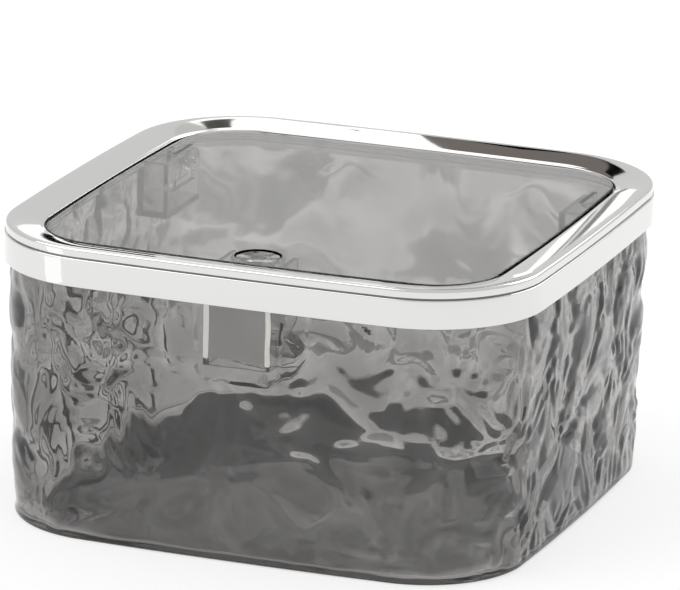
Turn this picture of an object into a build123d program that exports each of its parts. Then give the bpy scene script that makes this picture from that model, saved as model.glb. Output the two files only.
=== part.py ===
from build123d import *
import math
import os

os.makedirs("parts", exist_ok=True)

# A small square push-top bin for a desk or worktop.  Millimetres, +Z up, front towards -Y,
# origin at the centre of the underside.  The tub lifts away from a lid made of a plated rim,
# a moulded frame under it and a sprung flap with a round push button.

# ---------------------------------------------------------------- driving dimensions
# Overall
bin_width = 180.0            # across the rim at the middle of a side
bin_height = 96.4            # underside to the crown of the rim
side_bow = 2.3               # how far the middle of each side stands out of its corners

# Rim
rim_corner = 38.7            # corner radius of the outer outline
rim_skirt_depth = 12.5       # crown to the lower edge of the skirt
rim_skirt_wall = 1.4
groove_drop = 3.3            # crown to the lower edge of the shadow groove
groove_height = 0.5
groove_depth = 0.9
bead_inset = 0.4             # the bead above the groove stands this far inside the skirt
bead_round = 0.9
crown_inset = 2.0            # outline to the highest line of the top face
deck_fall = 1.9              # crown down to the inner edge of the sloping top face
deck_wall = 1.8              # thickness of the top face at its inner edge
opening_inset = 12.9         # outline to the flap opening
opening_corner = 22.0

# Tub
tub_wall = 2.4
tub_floor = 3.0
tub_base_inset = 3.9         # the base outline stands this far inside the rim's
tub_foot_width = 7.0         # flat ring that the tub stands on
tub_foot_recess = 0.8
tub_foot_round = 1.6
tub_inner_round = 5.0
tub_lip_chamfer = 0.5

# Clearances
lid_clearance = 0.3          # rim skirt round the tub
seat_gap = 0.2               # lid frame above the tub's edge
flap_gap = 0.8               # flap edge to the opening
part_gap = 0.3               # pieces that pass each other
fine_gap = 0.1               # small play behind pieces that are trapped
coil_gap = 0.28              # each side of a wound spring
pin_clearance = 0.05         # radial, pins in their bores
stem_clearance = 0.08        # radial, button stem in its guide
hook_gap = 0.2               # catch above the striker's bar
thread_gap = 0.2             # free depth past a screw's tip

# Lid frame
frame_setback = 0.5          # frame wall behind the edge of the rim's opening
frame_wall = 1.8
frame_flange = 1.5
frame_wall_drop = 4.1        # frame wall below the top of the flange

# Flap
flap_thickness = 3.0
flap_edge_round = 0.5
flap_tail = 27.3             # hinge axis to the flap's rear edge

# Hinges
hinge_drop = 4.0             # hinge axis below the underside of the flap
hinge_pin_radius = 1.25
pin_chamfer = 0.25
housing_wall = 1.8
housing_reach = 24.0         # housing in front of the hinge axis
housing_depth = 18.5         # housing's underside below the flap
housing_slot_depth = 10.5    # slot's lower edge below the flap
housing_slot_height = 3.0
housing_slot_margin = 3.0
hinge_boss_length = 1.8
hinge_boss_radius = 3.3
arm_thickness = 1.6
arm_front_reach = 11.0       # arm in front of the hinge axis
spring_wire = 0.6
wire_sides = 6               # flats round every spring's wire
torsion_turns = 3.5          # with both legs side by side
torsion_pitch = 0.68
torsion_lift = 9.4           # degrees that the upper leg rises towards the flap
torsion_drop = 70.0          # degrees that the lower leg falls towards the housing's floor
torsion_upper_leg = 11.5
torsion_lower_leg = 11.0

# Push button and its cup
button_hole_radius = 7.5
button_cap = 2.4
button_dish_depth = 0.9
button_rim_round = 0.3
button_rim_width = 1.0       # flat ring round the finger dish
button_sink = 0.1            # button rim below the flap's top face
cup_wall = 1.2
cup_floor = 1.2
cup_depth = 7.2              # flap top face to the underside of the cup
stem_radius = 3.0
stem_tip_rise = 1.1
stem_collar_lip = 0.4
stem_groove_play = 0.05
clip_radius = 4.6
clip_thickness = 0.6
clip_groove_radius = 2.3
clip_slot = 3.4
button_spring_wire = 0.5
button_spring_turns = 2.5
spring_seat_gap = 0.05

# Latch housing
cheek_span = 20.6            # between the middles of the two cheeks
cheek_wall = 1.6
latch_inset = 8.0            # rim outline to the housing's front face
latch_depth = 22.0           # front to back
latch_drop = 29.0            # housing's underside below the flap
latch_corner = 4.0
anchor_overhang = 0.8        # block between the cheeks, past their rear edges
anchor_length = 7.8
anchor_height = 6.0
anchor_rise = 1.0            # block's underside above the housing's
anchor_nub_radius = 1.4
anchor_nub_height = 1.5

# Catch
catch_setback = 6.0          # pivot behind the latch housing's front face
catch_drop = 21.5            # pivot below the flap
catch_pin_radius = 1.0
catch_pin_length = 24.0
catch_hub_radius = 3.2
catch_width = 8.4
catch_nose_tip = 0.4         # behind the pivot
catch_headroom = 1.6         # nose below the button's clip
catch_nose_rise = 2.2        # nose above the hook's underside
catch_nose_width = 0.9       # flat on top of the nose
catch_shoulder = 3.0         # where the slope behind the nose meets the push arm
catch_stem_width = 2.2
catch_waist = 4.5            # the catch is narrow from here up, above the pivot
catch_button_reach = 10.0    # pivot to the button's axis
catch_arm_overhang = 2.5     # push arm past the button's axis
catch_arm_step = 0.3         # push arm below the top of the nose
catch_arm_thickness = 2.4
catch_spring_radius = 2.1
catch_spring_wire = 0.45
catch_spring_turns = 4.0

# Striker
strike_thickness = 2.2
strike_bar_height = 2.5
strike_leg = 4.0
strike_window_gap = 0.6      # each side of the catch
strike_foot = 1.2
strike_round = 1.0

# Latch cover
cover_top_gap = 2.6          # cover's edge below the frame's wall
cover_drop = 34.5            # cover's underside below the flap
cover_side_top = 4.7         # outside of the cover past the cheeks, at its edge
cover_side_bottom = 2.9      # the same, at its underside
cover_wall = 1.2
cover_corner = 5.0
cover_setback = 1.0          # cover's front edge behind the latch housing's front face
cover_gap = 0.8              # behind the cheeks

# Screws
screw_radius = 1.1
screw_head_radius = 1.9
screw_head_height = 1.4
screw_head_chamfer = 0.45
screw_hole_radius = 1.3
screw_pilot_radius = 1.15
rim_screw_bite = 1.7         # thread inside the rim
rim_screw_along = 40.0       # from the middle of the left and right sides
cover_screw_bite = 5.0
cover_screw_spacing = 10.0

# ---------------------------------------------------------------- derived places
rim_half = bin_width / 2
crown_z = bin_height
deck_z = crown_z - deck_fall
deck_under = deck_z - deck_wall
skirt_z = crown_z - rim_skirt_depth
groove_z = crown_z - groove_drop
opening_half = rim_half - opening_inset

flange_under = deck_under - frame_flange
frame_low = deck_under - frame_wall_drop
frame_inner_half = opening_half + frame_setback
frame_inner_corner = opening_corner + frame_setback
frame_outer_half = frame_inner_half + frame_wall
frame_outer_corner = frame_inner_corner + frame_wall

tub_top = flange_under - seat_gap
tub_half = rim_half - rim_skirt_wall - lid_clearance
tub_corner = rim_corner - rim_skirt_wall - lid_clearance
tub_base_half = rim_half - tub_base_inset
tub_spread = tub_half - tub_base_half
tub_base_corner = tub_corner - tub_spread
tub_draft = math.degrees(math.atan(tub_spread / tub_top))

flap_top = deck_z
flap_under = flap_top - flap_thickness
flap_half = opening_half - flap_gap
flap_corner = opening_corner - flap_gap

hinge_y = flap_half - flap_tail
hinge_z = flap_under - hinge_drop
hinge_round = hinge_drop - part_gap
housing_front = hinge_y - housing_reach
housing_rear = hinge_y + hinge_round + fine_gap
housing_length = housing_rear - housing_front
housing_bottom = flap_under - housing_depth
housing_top = hinge_z + hinge_round
housing_outer = flap_half + fine_gap
boss_inner = housing_outer - hinge_boss_length
coil_turns = torsion_turns - (torsion_lift + torsion_drop) / 360
coil_length = coil_turns * torsion_pitch
arm_outer = boss_inner - coil_length - spring_wire - 2 * coil_gap
arm_inner = arm_outer - arm_thickness
housing_plate_end = arm_inner - part_gap
housing_inner = housing_plate_end - housing_wall
hinge_pin_length = housing_outer + housing_wall / 2 - part_gap - housing_inner

latch_front = latch_inset - rim_half
latch_rear = latch_front + latch_depth
latch_bottom = flap_under - latch_drop
cheek_inner = (cheek_span - cheek_wall) / 2
cheek_outer = (cheek_span + cheek_wall) / 2
catch_y = latch_front + catch_setback
catch_z = flap_under - catch_drop
button_y = catch_y + catch_button_reach

cup_radius = button_hole_radius + cup_wall
cup_under = flap_top - cup_depth
cup_seat = cup_under + cup_floor
cap_radius = button_hole_radius - part_gap
cap_top = flap_top - button_sink
cap_under = cap_top - button_cap
dish_radius = cap_radius - button_rim_width
dish_low = cap_top - button_dish_depth
clip_top = cup_under - fine_gap
clip_under = clip_top - clip_thickness
collar_radius = clip_groove_radius + stem_collar_lip

nose_top_z = clip_under - catch_headroom
arm_top_z = nose_top_z - catch_arm_step
stem_end = arm_top_z + part_gap
hook_radius = nose_top_z - catch_nose_rise - catch_z
strike_inner = catch_width / 2 + strike_window_gap
strike_outer = strike_inner + strike_leg
strike_reach = hook_radius - hook_gap
strike_bar_top = catch_z + math.sqrt(strike_reach ** 2 - strike_thickness ** 2)
strike_bar_low = strike_bar_top - strike_bar_height

anchor_low = latch_bottom + anchor_rise
anchor_top = anchor_low + anchor_height
anchor_rear = latch_rear + anchor_overhang
cover_screw_z = anchor_low + anchor_height / 2
cover_bottom = flap_under - cover_drop
cover_top = frame_low - cover_top_gap
cover_rear = latch_rear + cover_gap + fine_gap + cover_wall


def bowed_square(half, corner):
    """Square outline with bowed sides and round corners."""
    tip = half - side_bow
    with BuildSketch() as outline:
        with BuildLine():
            ThreePointArc((tip, -tip), (half, 0), (tip, tip))
            ThreePointArc((tip, tip), (0, half), (-tip, tip))
            ThreePointArc((-tip, tip), (-half, 0), (-tip, -tip))
            ThreePointArc((-tip, -tip), (0, -half), (tip, -tip))
        make_face()
        fillet(outline.vertices(), corner)
    return outline.sketch


def side_reach(half, along):
    """Distance from the middle to a bowed side, at a place along that side."""
    tip = half - side_bow
    bow_radius = (tip ** 2 + side_bow ** 2) / (2 * side_bow)
    return half - bow_radius + math.sqrt(bow_radius ** 2 - along ** 2)


def dome_rise(half_width, depth):
    """Rise of a spherical dome half way out from its lowest point to its edge."""
    sphere = (half_width ** 2 + depth ** 2) / (2 * depth)
    return sphere - math.sqrt(sphere ** 2 - (half_width / 2) ** 2)


def biarc(start, heading, end, end_heading):
    """Two arcs that join two points and keep both headings."""
    chord = end - start
    spread = chord.dot(heading + end_heading)
    bend = 2 * (1 - heading.dot(end_heading))
    reach = (math.sqrt(spread ** 2 + bend * chord.dot(chord)) - spread) / bend
    near = start + heading * reach
    far = end - end_heading * reach
    TangentArc(start, (near + far) * 0.5, tangent=heading)
    TangentArc((near + far) * 0.5, end, tangent=far - near)


def wound_wire(origin, axis, start, radius, rise, turns, leg_in=0.0, leg_out=0.0):
    """Left-hand coil's centre line in quarter turns, with straight legs square to its axis."""
    across = start.cross(axis)
    steps = math.ceil(4 * turns)
    step_angle = 2 * math.pi * turns / steps
    places = []
    headings = []
    for step in range(steps + 1):
        angle = step * step_angle
        outward = start * math.cos(angle) + across * math.sin(angle)
        forward = across * math.cos(angle) - start * math.sin(angle)
        climb = rise / (2 * math.pi * turns * radius) if 0 < step < steps else 0
        places.append(origin + outward * radius + axis * (rise * step / steps))
        headings.append((forward + axis * climb).normalized())
    with BuildLine() as wire:
        if leg_in:
            Line(places[0] - headings[0] * leg_in, places[0])
        for step in range(steps):
            biarc(places[step], headings[step], places[step + 1], headings[step + 1])
        if leg_out:
            Line(places[-1], places[-1] + headings[-1] * leg_out)
    return wire.line


def sweep_wire(path, thickness):
    """Wire along a centre line, with its round section drawn as flats."""
    with BuildPart() as wire:
        with BuildSketch(Plane(origin=path @ 0, z_dir=path % 0)):
            RegularPolygon(thickness / 2, wire_sides)
        sweep(path=path)
    return wire.part


def coil_spring(radius, wire, turns, low, high):
    """Compression spring about the button's axis, between two heights."""
    foot = Vector(0, button_y, low + wire / 2)
    path = wound_wire(foot, Vector(0, 0, 1), Vector(0, -1, 0), radius, high - low - wire, turns)
    return sweep_wire(path, wire)


# ---------------------------------------------------------------- tub
with BuildPart() as bin_body:
    with BuildSketch(Plane.XY):
        add(bowed_square(tub_base_half, tub_base_corner))
    extrude(amount=tub_top, taper=-tub_draft)
    fillet(bin_body.faces().sort_by(Axis.Z)[0].edges(), tub_foot_round)
    # the inside follows the outside at the wall's thickness
    floor_spread = tub_spread * tub_floor / tub_top - tub_wall
    with BuildSketch(Plane.XY.offset(tub_floor)):
        add(bowed_square(tub_base_half + floor_spread, tub_base_corner + floor_spread))
    extrude(amount=tub_top - tub_floor, taper=-tub_draft, mode=Mode.SUBTRACT)
    inside_floor = bin_body.faces().filter_by(Axis.Z).group_by(Axis.Z)[1]
    fillet(inside_floor.edges(), tub_inner_round)
    # shallow recess that leaves a ring to stand on
    with BuildSketch(Plane.XY):
        add(bowed_square(tub_base_half - tub_foot_width, tub_base_corner - tub_foot_width))
    extrude(amount=tub_foot_recess, mode=Mode.SUBTRACT)
    chamfer(bin_body.faces().sort_by(Axis.Z)[-1].edges(), tub_lip_chamfer)
bin_body.part.label = "bin_body"
export_step(bin_body.part, "parts/bin_body.step")

# ---------------------------------------------------------------- plated rim
# the screws stand midway between the frame's wall and the inside of the tub
frame_reach = side_reach(frame_outer_half, rim_screw_along)
tub_reach = side_reach(tub_half - tub_wall, rim_screw_along)
rim_screw_across = (frame_reach + tub_reach) / 2

with BuildPart() as chrome_rim:
    with BuildSketch(Plane.XY.offset(skirt_z)):
        add(bowed_square(rim_half, rim_corner))
    extrude(amount=groove_z - skirt_z)
    with BuildSketch(Plane.XY.offset(groove_z)):
        add(bowed_square(rim_half - groove_depth, rim_corner - groove_depth))
    extrude(amount=groove_height)
    with BuildSketch(Plane.XY.offset(groove_z + groove_height)):
        add(bowed_square(rim_half - bead_inset, rim_corner - bead_inset))
    extrude(amount=groove_drop - groove_height)
    fillet(chrome_rim.faces().sort_by(Axis.Z)[-1].edges(), bead_round)
    # the top face slopes down to the flap
    with BuildSketch(Plane.XY.offset(deck_z)):
        add(bowed_square(opening_half, opening_corner))
    with BuildSketch(Plane.XY.offset(crown_z)):
        add(bowed_square(rim_half - crown_inset, rim_corner - crown_inset))
    loft(ruled=True, mode=Mode.SUBTRACT)
    # hollow under the top face, then the opening
    with BuildSketch(Plane.XY.offset(skirt_z)):
        add(bowed_square(rim_half - rim_skirt_wall, rim_corner - rim_skirt_wall))
    extrude(amount=deck_under - skirt_z, mode=Mode.SUBTRACT)
    with BuildSketch(Plane.XY.offset(deck_under)):
        add(bowed_square(opening_half, opening_corner))
    extrude(amount=crown_z - deck_under, mode=Mode.SUBTRACT)
    # pilot holes for the screws that hold the frame
    with BuildSketch(Plane.XY.offset(deck_under)):
        with GridLocations(2 * rim_screw_across, 2 * rim_screw_along, 2, 2):
            Circle(screw_pilot_radius)
    extrude(amount=rim_screw_bite + fine_gap, mode=Mode.SUBTRACT)
chrome_rim.part.label = "chrome_rim"
export_step(chrome_rim.part, "parts/chrome_rim.step")

# ---------------------------------------------------------------- hinge housing, right hand
with BuildPart() as hinge_housing:
    # inner plate, rounded about the hinge so that the flap's tail can pass
    with BuildSketch(Plane.YZ.offset(housing_inner)):
        with BuildLine():
            Polyline(
                (hinge_y, housing_top),
                (housing_front, housing_top),
                (housing_front, housing_bottom),
                (housing_rear, housing_bottom),
                (housing_rear, hinge_z),
                (hinge_y + hinge_round, hinge_z),
            )
            RadiusArc((hinge_y + hinge_round, hinge_z), (hinge_y, housing_top), -hinge_round)
        make_face()
        slot_z = flap_under - housing_slot_depth + housing_slot_height / 2
        with Locations(((housing_front + housing_rear) / 2, slot_z)):
            slot_length = housing_length - 2 * housing_slot_margin
            SlotOverall(slot_length, housing_slot_height, mode=Mode.SUBTRACT)
    extrude(amount=housing_wall)
    # floor, front web and outer wall close the box; its rear stays open
    low_corner = (Align.MIN, Align.MIN, Align.MIN)
    inside_width = housing_outer - housing_plate_end
    with Locations((housing_plate_end, housing_front, housing_bottom)):
        Box(inside_width, housing_length, housing_wall, align=low_corner)
        Box(inside_width, housing_wall, housing_top - housing_bottom, align=low_corner)
    with Locations((housing_outer, housing_front, housing_bottom)):
        wall_height = frame_low + frame_wall / 2 - housing_bottom
        Box(housing_wall, housing_length, wall_height, align=low_corner)
    # boss for the outer end of the pin
    with BuildSketch(Plane.YZ.offset(boss_inner)):
        with Locations((hinge_y, hinge_z)):
            Circle(hinge_boss_radius)
    extrude(amount=hinge_boss_length + housing_wall)

# ---------------------------------------------------------------- latch housing
with BuildPart() as latch_housing:
    # two cheeks and a front web, made as one block that is hollowed between the cheeks
    with BuildSketch(Plane.YZ.offset(-cheek_outer)):
        with BuildLine():
            Polyline(
                (latch_front, flange_under),
                (latch_front, latch_bottom),
                (latch_rear, latch_bottom),
                (latch_rear, flange_under),
                close=True,
            )
        cheek_face = make_face()
        fillet(cheek_face.vertices().group_by(Axis.Y)[0].sort_by(Axis.X)[-1], latch_corner)
    extrude(amount=2 * cheek_outer)
    with BuildSketch(Plane.YZ.offset(-cheek_inner)):
        with Locations((latch_front + cheek_wall, latch_bottom)):
            Rectangle(latch_depth, flange_under - latch_bottom, align=(Align.MIN, Align.MIN))
    extrude(amount=2 * cheek_inner, mode=Mode.SUBTRACT)
    # block between the cheeks: it takes the cover's screws and carries the catch spring
    with Locations((0, anchor_rear, anchor_low)):
        block_align = (Align.CENTER, Align.MAX, Align.MIN)
        Box(2 * cheek_inner, anchor_length, anchor_height, align=block_align)
    with BuildSketch(Plane.XY.offset(anchor_top)):
        with Locations((0, button_y)):
            Circle(anchor_nub_radius)
    extrude(amount=anchor_nub_height)
    # bores: catch pin through both cheeks, screw pilots into the block from behind
    with BuildSketch(Plane.YZ.offset(-cheek_outer)):
        with Locations((catch_y, catch_z)):
            Circle(catch_pin_radius + pin_clearance)
    extrude(amount=2 * cheek_outer, mode=Mode.SUBTRACT)
    with BuildSketch(Plane.XZ.offset(-anchor_rear)):
        with Locations((0, cover_screw_z)):
            with GridLocations(cover_screw_spacing, 1, 2, 1):
                Circle(screw_pilot_radius)
    extrude(amount=cover_screw_bite + thread_gap, mode=Mode.SUBTRACT)

# ---------------------------------------------------------------- lid frame
with BuildPart() as lid_frame:
    # flange under the rim's top face
    with BuildSketch(Plane.XY.offset(flange_under)):
        add(bowed_square(tub_half - part_gap, tub_corner - part_gap))
    extrude(amount=frame_flange)
    # wall round the flap
    with BuildSketch(Plane.XY.offset(frame_low)):
        add(bowed_square(frame_outer_half, frame_outer_corner))
    extrude(amount=frame_wall_drop)
    with BuildSketch(Plane.XY.offset(frame_low)):
        add(bowed_square(frame_inner_half, frame_inner_corner))
    extrude(amount=frame_wall_drop, mode=Mode.SUBTRACT)
    with BuildSketch(Plane.XY.offset(flange_under)):
        with GridLocations(2 * rim_screw_across, 2 * rim_screw_along, 2, 2):
            Circle(screw_hole_radius)
    extrude(amount=frame_flange, mode=Mode.SUBTRACT)
    add(hinge_housing.part)
    add(mirror(hinge_housing.part, about=Plane.YZ))
    add(latch_housing.part)
    # blind bores for the hinge pins
    for side in (1, -1):
        with BuildSketch(Plane.YZ.offset(side * housing_inner)):
            with Locations((hinge_y, hinge_z)):
                Circle(hinge_pin_radius + pin_clearance)
        extrude(amount=side * (hinge_pin_length + part_gap), mode=Mode.SUBTRACT)
lid_frame.part.label = "lid_frame"
export_step(lid_frame.part, "parts/lid_frame.step")


# ---------------------------------------------------------------- screws
def screw(length):
    """Pan head screw with its head under the XY plane, pointing up."""
    with BuildPart() as one:
        Cylinder(screw_radius, length, align=(Align.CENTER, Align.CENTER, Align.MIN))
        with BuildSketch(Plane.XY):
            Circle(screw_head_radius)
        extrude(amount=-screw_head_height)
        chamfer(one.faces().sort_by(Axis.Z)[0].edges(), screw_head_chamfer)
    return one.part


with BuildPart() as rim_screws:
    with Locations(Plane.XY.offset(flange_under)):
        with GridLocations(2 * rim_screw_across, 2 * rim_screw_along, 2, 2):
            add(screw(frame_flange + rim_screw_bite))
rim_screws.part.label = "rim_screws"
export_step(rim_screws.part, "parts/rim_screws.step")

# ---------------------------------------------------------------- flap
with BuildPart() as flap_panel:
    with BuildSketch(Plane.XY.offset(flap_under)):
        add(bowed_square(flap_half, flap_corner))
    extrude(amount=flap_thickness)
    fillet(flap_panel.faces().sort_by(Axis.Z)[-1].edges(), flap_edge_round)
    # cup that guides the button
    with BuildSketch(Plane.XY.offset(cup_under)):
        with Locations((0, button_y)):
            Circle(cup_radius)
    extrude(amount=cup_depth - flap_thickness)
    with BuildSketch(Plane.XY.offset(cup_seat)):
        with Locations((0, button_y)):
            Circle(button_hole_radius)
    extrude(amount=cup_depth - cup_floor, mode=Mode.SUBTRACT)
    with BuildSketch(Plane.XY.offset(cup_under)):
        with Locations((0, button_y)):
            Circle(stem_radius + stem_clearance)
    extrude(amount=cup_floor, mode=Mode.SUBTRACT)
flap_panel.part.label = "flap_panel"
export_step(flap_panel.part, "parts/flap_panel.step")

# ---------------------------------------------------------------- hinge arms, pins and springs
with BuildPart() as hinge_arm:
    with BuildSketch(Plane.YZ.offset(arm_inner)):
        with BuildLine():
            Polyline(
                (hinge_y + hinge_round, hinge_z),
                (hinge_y + hinge_round, flap_under),
                (hinge_y - arm_front_reach, flap_under),
                (hinge_y - hinge_round, hinge_z),
            )
            ThreePointArc(
                (hinge_y - hinge_round, hinge_z),
                (hinge_y, hinge_z - hinge_round),
                (hinge_y + hinge_round, hinge_z),
            )
        make_face()
        with Locations((hinge_y, hinge_z)):
            Circle(hinge_pin_radius + pin_clearance, mode=Mode.SUBTRACT)
    extrude(amount=arm_thickness)

with BuildPart() as hinge_pin:
    with BuildSketch(Plane.YZ.offset(housing_inner)):
        with Locations((hinge_y, hinge_z)):
            Circle(hinge_pin_radius)
    extrude(amount=hinge_pin_length)
    chamfer(hinge_pin.edges(), pin_chamfer)

# coil round the pin: one leg presses up under the flap, the other stands in the housing
lift_angle = math.radians(torsion_lift)
torsion_path = wound_wire(
    Vector(arm_outer + coil_gap + spring_wire / 2, hinge_y, hinge_z),
    Vector(1, 0, 0),
    Vector(0, math.sin(lift_angle), math.cos(lift_angle)),
    hinge_pin_radius + part_gap / 2 + spring_wire / 2,
    coil_length,
    coil_turns,
    torsion_upper_leg,
    torsion_lower_leg,
)
torsion_spring = sweep_wire(torsion_path, spring_wire)

for name, right in (
    ("hinge_arm", hinge_arm.part),
    ("hinge_pin", hinge_pin.part),
    ("torsion_spring", torsion_spring),
):
    left = mirror(right, about=Plane.YZ)
    right.label = name + "_right"
    left.label = name + "_left"
    export_step(right, "parts/" + name + "_right.step")
    export_step(left, "parts/" + name + "_left.step")

# ---------------------------------------------------------------- push button
with BuildPart() as push_button:
    with BuildSketch(Plane.XZ.offset(-button_y)):
        with BuildLine():
            Line((0, dish_low), (0, stem_end))
            ThreePointArc(
                (0, stem_end),
                (collar_radius / 2, stem_end + dome_rise(collar_radius, stem_tip_rise)),
                (collar_radius, stem_end + stem_tip_rise),
            )
            # collar and groove that hold the clip, then the stem and the cap
            Polyline(
                (collar_radius, stem_end + stem_tip_rise),
                (collar_radius, clip_under - stem_groove_play),
                (clip_groove_radius, clip_under - stem_groove_play),
                (clip_groove_radius, clip_top + stem_groove_play),
                (stem_radius, clip_top + stem_groove_play),
                (stem_radius, cap_under),
                (cap_radius, cap_under),
                (cap_radius, cap_top - button_rim_round),
                (cap_radius - button_rim_round, cap_top),
                (dish_radius, cap_top),
            )
            ThreePointArc(
                (dish_radius, cap_top),
                (dish_radius / 2, dish_low + dome_rise(dish_radius, button_dish_depth)),
                (0, dish_low),
            )
        make_face()
    revolve(axis=Axis((0, button_y, 0), (0, 0, 1)))
push_button.part.label = "push_button"
export_step(push_button.part, "parts/push_button.step")

with BuildPart() as button_clip:
    with BuildSketch(Plane.XY.offset(clip_under)):
        with Locations((0, button_y)):
            Circle(clip_radius)
            Circle(clip_groove_radius + pin_clearance, mode=Mode.SUBTRACT)
        with Locations((0, button_y + clip_radius)):
            Rectangle(clip_slot, 2 * clip_radius, mode=Mode.SUBTRACT)
    extrude(amount=clip_thickness)
button_clip.part.label = "button_clip"
export_step(button_clip.part, "parts/button_clip.step")

button_spring = coil_spring(
    (stem_radius + button_hole_radius) / 2,
    button_spring_wire,
    button_spring_turns,
    cup_seat + spring_seat_gap,
    cap_under - spring_seat_gap,
)
button_spring.label = "button_spring"
export_step(button_spring, "parts/button_spring.step")

# ---------------------------------------------------------------- catch
nose_back = strike_thickness + part_gap
nose_middle = (nose_back + catch_nose_tip) / 2
nose_back_z = math.sqrt(hook_radius ** 2 - nose_back ** 2)
nose_middle_z = math.sqrt(hook_radius ** 2 - nose_middle ** 2)
nose_tip_z = math.sqrt(hook_radius ** 2 - catch_nose_tip ** 2)
nose_top = nose_top_z - catch_z
arm_top = arm_top_z - catch_z
arm_under = arm_top - catch_arm_thickness
arm_end = catch_button_reach + catch_arm_overhang
catch_plane = Plane(origin=(0, catch_y, catch_z), x_dir=(0, 1, 0), z_dir=(1, 0, 0))

with BuildPart() as catch:
    with BuildSketch(catch_plane.offset(-catch_width / 2)):
        with BuildLine():
            # underside of the hook, an arc about the pivot
            ThreePointArc(
                (nose_back, nose_back_z),
                (nose_middle, nose_middle_z),
                (catch_nose_tip, nose_tip_z),
            )
            Polyline(
                (catch_nose_tip, nose_tip_z),
                (nose_back, nose_top),
                (nose_back + catch_nose_width, nose_top),
                (nose_back + catch_shoulder, arm_top),
                (arm_end, arm_top),
                (arm_end, arm_under),
                (nose_back + 2 * catch_stem_width, arm_under),
                (catch_hub_radius, 0),
                (-catch_hub_radius, 0),
                (nose_back, catch_waist),
                (nose_back, nose_back_z),
            )
        make_face()
    extrude(amount=catch_width)
    with BuildSketch(catch_plane.offset(part_gap - cheek_inner)):
        Circle(catch_hub_radius)
    extrude(amount=2 * (cheek_inner - part_gap))
    with BuildSketch(catch_plane.offset(-cheek_inner)):
        Circle(catch_pin_radius + pin_clearance)
    extrude(amount=2 * cheek_inner, mode=Mode.SUBTRACT)
catch.part.label = "catch"
export_step(catch.part, "parts/catch.step")

with BuildPart() as catch_pin:
    with BuildSketch(catch_plane.offset(-catch_pin_length / 2)):
        Circle(catch_pin_radius)
    extrude(amount=catch_pin_length)
    chamfer(catch_pin.edges(), pin_chamfer)
catch_pin.part.label = "catch_pin"
export_step(catch_pin.part, "parts/catch_pin.step")

catch_spring = coil_spring(
    catch_spring_radius,
    catch_spring_wire,
    catch_spring_turns,
    anchor_top + spring_seat_gap,
    catch_z + arm_under - spring_seat_gap,
)
catch_spring.label = "catch_spring"
export_step(catch_spring, "parts/catch_spring.step")

# ---------------------------------------------------------------- striker under the flap
with BuildPart() as striker:
    # loop that the catch's nose reaches through
    with BuildSketch(Plane.XZ.offset(-catch_y)):
        with Locations((0, (flap_under + strike_bar_low) / 2)):
            Rectangle(2 * strike_outer, flap_under - strike_bar_low)
        window_height = flap_under - strike_foot - strike_bar_top
        with Locations((0, strike_bar_top + window_height / 2)):
            Rectangle(2 * strike_inner, window_height, mode=Mode.SUBTRACT)
    extrude(amount=-strike_thickness)
    low_edges = striker.edges().filter_by(Axis.Y).group_by(Axis.Z)[0]
    fillet(low_edges, strike_round)
    # the loop's upper edge is relieved round the button's cup
    with BuildSketch(Plane.XY.offset(cup_under - part_gap)):
        with Locations((0, button_y)):
            Circle(cup_radius + part_gap)
    extrude(amount=flap_under - cup_under + part_gap, mode=Mode.SUBTRACT)
striker.part.label = "striker"
export_step(striker.part, "parts/striker.step")

# ---------------------------------------------------------------- latch cover and its screws
cover_length = cover_rear - latch_front - cover_setback


def cover_outline(wall):
    """Tapered trough, open at the top, seen from the front; wall is how far it is inset."""
    top_half = cheek_outer + cover_side_top - wall
    bottom_half = cheek_outer + cover_side_bottom - wall
    with BuildSketch(Plane.XZ) as outline:
        with BuildLine():
            Polyline(
                (bottom_half, cover_bottom + wall),
                (top_half, cover_top),
                (-top_half, cover_top),
                (-bottom_half, cover_bottom + wall),
                close=True,
            )
        make_face()
        fillet(outline.vertices().group_by(Axis.Y)[0], cover_corner - wall)
    return outline.sketch


with BuildPart() as latch_cover:
    outside = cover_outline(0).moved(Location((0, cover_rear, 0)))
    inside = cover_outline(cover_wall).moved(Location((0, cover_rear - cover_wall, 0)))
    add(extrude(outside, amount=cover_length))
    add(extrude(inside, amount=cover_length), mode=Mode.SUBTRACT)
    with BuildSketch(Plane.XZ.offset(-cover_rear)):
        with Locations((0, cover_screw_z)):
            with GridLocations(cover_screw_spacing, 1, 2, 1):
                Circle(screw_hole_radius)
    extrude(amount=cover_wall, mode=Mode.SUBTRACT)
latch_cover.part.label = "latch_cover"
export_step(latch_cover.part, "parts/latch_cover.step")

screw_face = Plane(origin=(0, cover_rear, cover_screw_z), x_dir=(1, 0, 0), z_dir=(0, -1, 0))
with BuildPart() as cover_screws:
    with Locations(screw_face):
        with GridLocations(cover_screw_spacing, 1, 2, 1):
            add(screw(cover_wall + cover_screw_bite))
cover_screws.part.label = "cover_screws"
export_step(cover_screws.part, "parts/cover_screws.step")
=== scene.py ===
"""Looks of a small push-top bin: rippled smoke-clear tub, plated rim, clear flap and its latch."""
import math

import bpy
import numpy as np
from mathutils import Matrix, Vector, noise


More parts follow.
